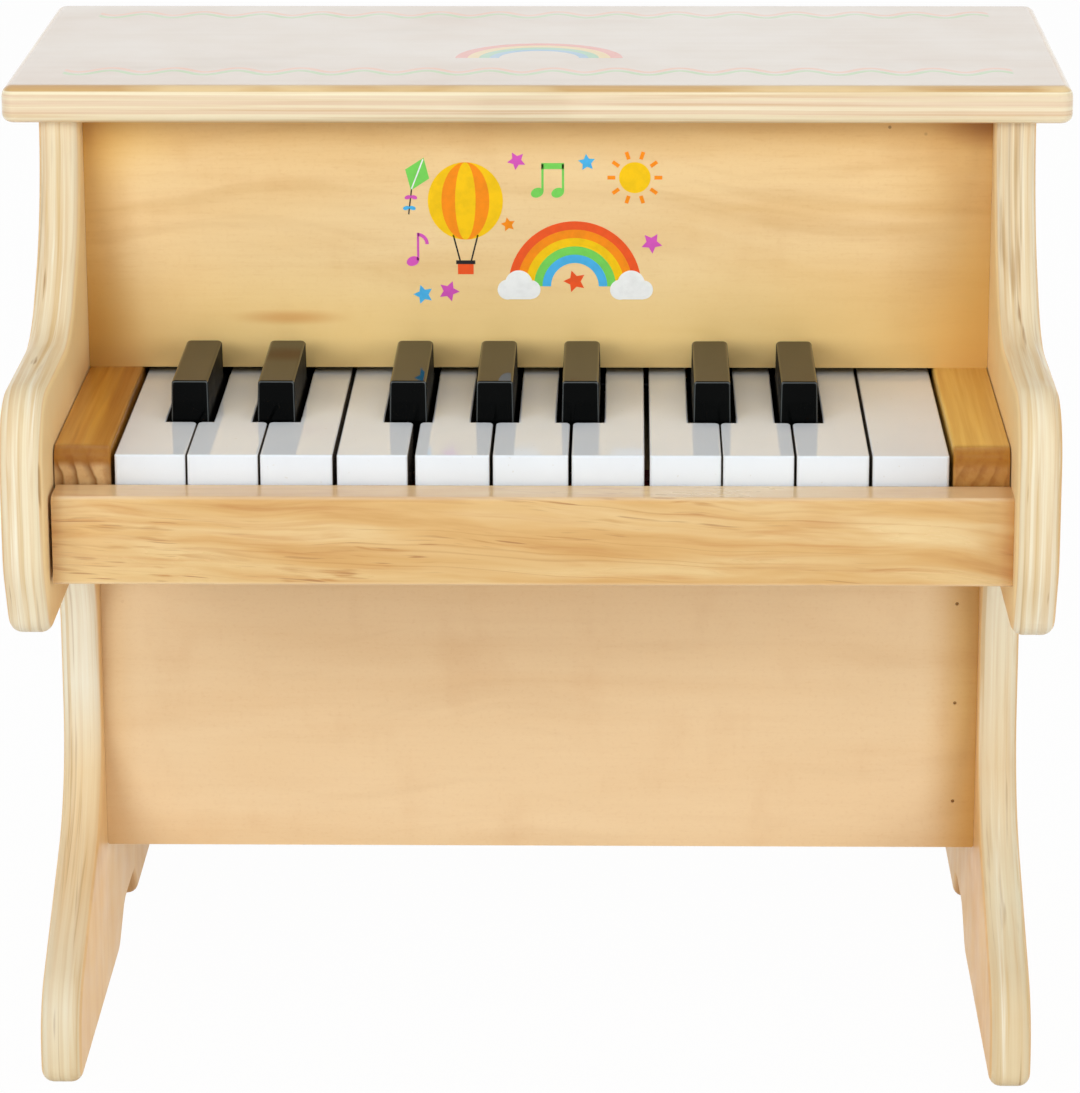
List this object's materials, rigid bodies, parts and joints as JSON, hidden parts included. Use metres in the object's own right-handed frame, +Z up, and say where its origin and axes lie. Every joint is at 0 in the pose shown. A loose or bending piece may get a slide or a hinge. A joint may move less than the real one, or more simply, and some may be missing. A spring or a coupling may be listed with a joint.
{
  "type": "toy piano",
  "caption": "Small wooden upright toy piano with arms, open lower legs, hinged white and black keys, hammers and tone rods inside a closed case.",
  "frame": {"origin": "on the floor, under the middle of the whole piano", "axes": "+X along the keyboard towards the high notes, +Y from the player to the back, +Z up"},
  "size_m": [0.309, 0.255, 0.2854],
  "materials": {
    "birch_ply": "clear lacquered birch plywood, satin",
    "lacquered_ply": "pale plywood under gloss lacquer",
    "panel_veneer": "warm pale veneer, satin lacquer",
    "pine": "pine with amber grain, satin lacquer",
    "white_lacquer": "white gloss lacquer on wood",
    "black_lacquer": "black gloss lacquer on wood",
    "beech": "plain beech",
    "steel": "bright steel",
    "tone_block_iron": "black cast iron",
    "felt": "red felt"
  },
  "bodies": {
    "case": {"back_panel": "birch_ply", "back_panel_screws": "steel", "case_dowels": "beech", "hammer_axle": "steel", "key_axle": "steel", "key_bed": "birch_ply", "key_rest_felt": "felt", "key_rest_rail": "pine", "key_stop_felt": "felt", "keyslip": "pine", "left_key_block": "pine", "left_panel_cleat": "pine", "left_side_panel": "birch_ply", "lid": "lacquered_ply", "lower_front_panel": "panel_veneer", "panel_brads": "steel", "right_key_block": "pine", "right_panel_cleat": "pine", "right_side_panel": "birch_ply", "tone_block": "tone_block_iron", "tone_block_screws": "steel", "tone_rods": "steel", "upper_front_panel": "panel_veneer"},
    "white_key_01": {"white_key_01": "white_lacquer"},
    "hammer_01": {"hammer_01": "beech"},
    "black_key_01": {"black_key_01": "black_lacquer"},
    "hammer_02": {"hammer_02": "beech"},
    "white_key_02": {"white_key_02": "white_lacquer"},
    "hammer_03": {"hammer_03": "beech"},
    "black_key_02": {"black_key_02": "black_lacquer"},
    "hammer_04": {"hammer_04": "beech"},
    "white_key_03": {"white_key_03": "white_lacquer"},
    "hammer_05": {"hammer_05": "beech"},
    "white_key_04": {"white_key_04": "white_lacquer"},
    "hammer_06": {"hammer_06": "beech"},
    "black_key_03": {"black_key_03": "black_lacquer"},
    "hammer_07": {"hammer_07": "beech"},
    "white_key_05": {"white_key_05": "white_lacquer"},
    "hammer_08": {"hammer_08": "beech"},
    "black_key_04": {"black_key_04": "black_lacquer"},
    "hammer_09": {"hammer_09": "beech"},
    "white_key_06": {"white_key_06": "white_lacquer"},
    "hammer_10": {"hammer_10": "beech"},
    "black_key_05": {"black_key_05": "black_lacquer"},
    "hammer_11": {"hammer_11": "beech"},
    "white_key_07": {"white_key_07": "white_lacquer"},
    "hammer_12": {"hammer_12": "beech"},
    "white_key_08": {"white_key_08": "white_lacquer"},
    "hammer_13": {"hammer_13": "beech"},
    "black_key_06": {"black_key_06": "black_lacquer"},
    "hammer_14": {"hammer_14": "beech"},
    "white_key_09": {"white_key_09": "white_lacquer"},
    "hammer_15": {"hammer_15": "beech"},
    "black_key_07": {"black_key_07": "black_lacquer"},
    "hammer_16": {"hammer_16": "beech"},
    "white_key_10": {"white_key_10": "white_lacquer"},
    "hammer_17": {"hammer_17": "beech"},
    "white_key_11": {"white_key_11": "white_lacquer"},
    "hammer_18": {"hammer_18": "beech"}
  },
  "joints": [
    {"name": "white_key_01_press", "type": "hinge", "parent": "case", "child": "white_key_01", "pos_m": [0, 0.00905, 0.189], "axis": [1, 0, 0], "range_deg": [0, 2.81], "stiffness_Nm_per_rad": 0.2, "springref_deg": -4.58},
    {"name": "hammer_01_swing", "type": "hinge", "parent": "case", "child": "hammer_01", "pos_m": [0, 0.09405, 0.1913], "axis": [1, 0, 0], "range_deg": [-15.6, 0]},
    {"name": "black_key_01_press", "type": "hinge", "parent": "case", "child": "black_key_01", "pos_m": [0, 0.00905, 0.189], "axis": [1, 0, 0], "range_deg": [0, 2.81], "stiffness_Nm_per_rad": 0.2, "springref_deg": -4.58},
    {"name": "hammer_02_swing", "type": "hinge", "parent": "case", "child": "hammer_02", "pos_m": [0, 0.09405, 0.1913], "axis": [1, 0, 0], "range_deg": [-15.6, 0]},
    {"name": "white_key_02_press", "type": "hinge", "parent": "case", "child": "white_key_02", "pos_m": [0, 0.00905, 0.189], "axis": [1, 0, 0], "range_deg": [0, 2.81], "stiffness_Nm_per_rad": 0.2, "springref_deg": -4.58},
    {"name": "hammer_03_swing", "type": "hinge", "parent": "case", "child": "hammer_03", "pos_m": [0, 0.09405, 0.1913], "axis": [1, 0, 0], "range_deg": [-15.6, 0]},
    {"name": "black_key_02_press", "type": "hinge", "parent": "case", "child": "black_key_02", "pos_m": [0, 0.00905, 0.189], "axis": [1, 0, 0], "range_deg": [0, 2.81], "stiffness_Nm_per_rad": 0.2, "springref_deg": -4.58},
    {"name": "hammer_04_swing", "type": "hinge", "parent": "case", "child": "hammer_04", "pos_m": [0, 0.09405, 0.1913], "axis": [1, 0, 0], "range_deg": [-15.6, 0]},
    {"name": "white_key_03_press", "type": "hinge", "parent": "case", "child": "white_key_03", "pos_m": [0, 0.00905, 0.189], "axis": [1, 0, 0], "range_deg": [0, 2.81], "stiffness_Nm_per_rad": 0.2, "springref_deg": -4.58},
    {"name": "hammer_05_swing", "type": "hinge", "parent": "case", "child": "hammer_05", "pos_m": [0, 0.09405, 0.1913], "axis": [1, 0, 0], "range_deg": [-15.6, 0]},
    {"name": "white_key_04_press", "type": "hinge", "parent": "case", "child": "white_key_04", "pos_m": [0, 0.00905, 0.189], "axis": [1, 0, 0], "range_deg": [0, 2.81], "stiffness_Nm_per_rad": 0.2, "springref_deg": -4.58},
    {"name": "hammer_06_swing", "type": "hinge", "parent": "case", "child": "hammer_06", "pos_m": [0, 0.09405, 0.1913], "axis": [1, 0, 0], "range_deg": [-15.6, 0]},
    {"name": "black_key_03_press", "type": "hinge", "parent": "case", "child": "black_key_03", "pos_m": [0, 0.00905, 0.189], "axis": [1, 0, 0], "range_deg": [0, 2.81], "stiffness_Nm_per_rad": 0.2, "springref_deg": -4.58},
    {"name": "hammer_07_swing", "type": "hinge", "parent": "case", "child": "hammer_07", "pos_m": [0, 0.09405, 0.1913], "axis": [1, 0, 0], "range_deg": [-15.6, 0]},
    {"name": "white_key_05_press", "type": "hinge", "parent": "case", "child": "white_key_05", "pos_m": [0, 0.00905, 0.189], "axis": [1, 0, 0], "range_deg": [0, 2.81], "stiffness_Nm_per_rad": 0.2, "springref_deg": -4.58},
    {"name": "hammer_08_swing", "type": "hinge", "parent": "case", "child": "hammer_08", "pos_m": [0, 0.09405, 0.1913], "axis": [1, 0, 0], "range_deg": [-15.6, 0]},
    {"name": "black_key_04_press", "type": "hinge", "parent": "case", "child": "black_key_04", "pos_m": [0, 0.00905, 0.189], "axis": [1, 0, 0], "range_deg": [0, 2.81], "stiffness_Nm_per_rad": 0.2, "springref_deg": -4.58},
    {"name": "hammer_09_swing", "type": "hinge", "parent": "case", "child": "hammer_09", "pos_m": [0, 0.09405, 0.1913], "axis": [1, 0, 0], "range_deg": [-15.6, 0]},
    {"name": "white_key_06_press", "type": "hinge", "parent": "case", "child": "white_key_06", "pos_m": [0, 0.00905, 0.189], "axis": [1, 0, 0], "range_deg": [0, 2.81], "stiffness_Nm_per_rad": 0.2, "springref_deg": -4.58},
    {"name": "hammer_10_swing", "type": "hinge", "parent": "case", "child": "hammer_10", "pos_m": [0, 0.09405, 0.1913], "axis": [1, 0, 0], "range_deg": [-15.6, 0]},
    {"name": "black_key_05_press", "type": "hinge", "parent": "case", "child": "black_key_05", "pos_m": [0, 0.00905, 0.189], "axis": [1, 0, 0], "range_deg": [0, 2.81], "stiffness_Nm_per_rad": 0.2, "springref_deg": -4.58},
    {"name": "hammer_11_swing", "type": "hinge", "parent": "case", "child": "hammer_11", "pos_m": [0, 0.09405, 0.1913], "axis": [1, 0, 0], "range_deg": [-15.6, 0]},
    {"name": "white_key_07_press", "type": "hinge", "parent": "case", "child": "white_key_07", "pos_m": [0, 0.00905, 0.189], "axis": [1, 0, 0], "range_deg": [0, 2.81], "stiffness_Nm_per_rad": 0.2, "springref_deg": -4.58},
    {"name": "hammer_12_swing", "type": "hinge", "parent": "case", "child": "hammer_12", "pos_m": [0, 0.09405, 0.1913], "axis": [1, 0, 0], "range_deg": [-15.6, 0]},
    {"name": "white_key_08_press", "type": "hinge", "parent": "case", "child": "white_key_08", "pos_m": [0, 0.00905, 0.189], "axis": [1, 0, 0], "range_deg": [0, 2.81], "stiffness_Nm_per_rad": 0.2, "springref_deg": -4.58},
    {"name": "hammer_13_swing", "type": "hinge", "parent": "case", "child": "hammer_13", "pos_m": [0, 0.09405, 0.1913], "axis": [1, 0, 0], "range_deg": [-15.6, 0]},
    {"name": "black_key_06_press", "type": "hinge", "parent": "case", "child": "black_key_06", "pos_m": [0, 0.00905, 0.189], "axis": [1, 0, 0], "range_deg": [0, 2.81], "stiffness_Nm_per_rad": 0.2, "springref_deg": -4.58},
    {"name": "hammer_14_swing", "type": "hinge", "parent": "case", "child": "hammer_14", "pos_m": [0, 0.09405, 0.1913], "axis": [1, 0, 0], "range_deg": [-15.6, 0]},
    {"name": "white_key_09_press", "type": "hinge", "parent": "case", "child": "white_key_09", "pos_m": [0, 0.00905, 0.189], "axis": [1, 0, 0], "range_deg": [0, 2.81], "stiffness_Nm_per_rad": 0.2, "springref_deg": -4.58},
    {"name": "hammer_15_swing", "type": "hinge", "parent": "case", "child": "hammer_15", "pos_m": [0, 0.09405, 0.1913], "axis": [1, 0, 0], "range_deg": [-15.6, 0]},
    {"name": "black_key_07_press", "type": "hinge", "parent": "case", "child": "black_key_07", "pos_m": [0, 0.00905, 0.189], "axis": [1, 0, 0], "range_deg": [0, 2.81], "stiffness_Nm_per_rad": 0.2, "springref_deg": -4.58},
    {"name": "hammer_16_swing", "type": "hinge", "parent": "case", "child": "hammer_16", "pos_m": [0, 0.09405, 0.1913], "axis": [1, 0, 0], "range_deg": [-15.6, 0]},
    {"name": "white_key_10_press", "type": "hinge", "parent": "case", "child": "white_key_10", "pos_m": [0, 0.00905, 0.189], "axis": [1, 0, 0], "range_deg": [0, 2.81], "stiffness_Nm_per_rad": 0.2, "springref_deg": -4.58},
    {"name": "hammer_17_swing", "type": "hinge", "parent": "case", "child": "hammer_17", "pos_m": [0, 0.09405, 0.1913], "axis": [1, 0, 0], "range_deg": [-15.6, 0]},
    {"name": "white_key_11_press", "type": "hinge", "parent": "case", "child": "white_key_11", "pos_m": [0, 0.00905, 0.189], "axis": [1, 0, 0], "range_deg": [0, 2.81], "stiffness_Nm_per_rad": 0.2, "springref_deg": -4.58},
    {"name": "hammer_18_swing", "type": "hinge", "parent": "case", "child": "hammer_18", "pos_m": [0, 0.09405, 0.1913], "axis": [1, 0, 0], "range_deg": [-15.6, 0]}
  ],
  "couplings": [
    {"joint": "hammer_01_swing", "follows": "white_key_01_press", "ratio": -5.5385},
    {"joint": "hammer_02_swing", "follows": "black_key_01_press", "ratio": -5.5385},
    {"joint": "hammer_03_swing", "follows": "white_key_02_press", "ratio": -5.5385},
    {"joint": "hammer_04_swing", "follows": "black_key_02_press", "ratio": -5.5385},
    {"joint": "hammer_05_swing", "follows": "white_key_03_press", "ratio": -5.5385},
    {"joint": "hammer_06_swing", "follows": "white_key_04_press", "ratio": -5.5385},
    {"joint": "hammer_07_swing", "follows": "black_key_03_press", "ratio": -5.5385},
    {"joint": "hammer_08_swing", "follows": "white_key_05_press", "ratio": -5.5385},
    {"joint": "hammer_09_swing", "follows": "black_key_04_press", "ratio": -5.5385},
    {"joint": "hammer_10_swing", "follows": "white_key_06_press", "ratio": -5.5385},
    {"joint": "hammer_11_swing", "follows": "black_key_05_press", "ratio": -5.5385},
    {"joint": "hammer_12_swing", "follows": "white_key_07_press", "ratio": -5.5385},
    {"joint": "hammer_13_swing", "follows": "white_key_08_press", "ratio": -5.5385},
    {"joint": "hammer_14_swing", "follows": "black_key_06_press", "ratio": -5.5385},
    {"joint": "hammer_15_swing", "follows": "white_key_09_press", "ratio": -5.5385},
    {"joint": "hammer_16_swing", "follows": "black_key_07_press", "ratio": -5.5385},
    {"joint": "hammer_17_swing", "follows": "white_key_10_press", "ratio": -5.5385},
    {"joint": "hammer_18_swing", "follows": "white_key_11_press", "ratio": -5.5385}
  ]
}
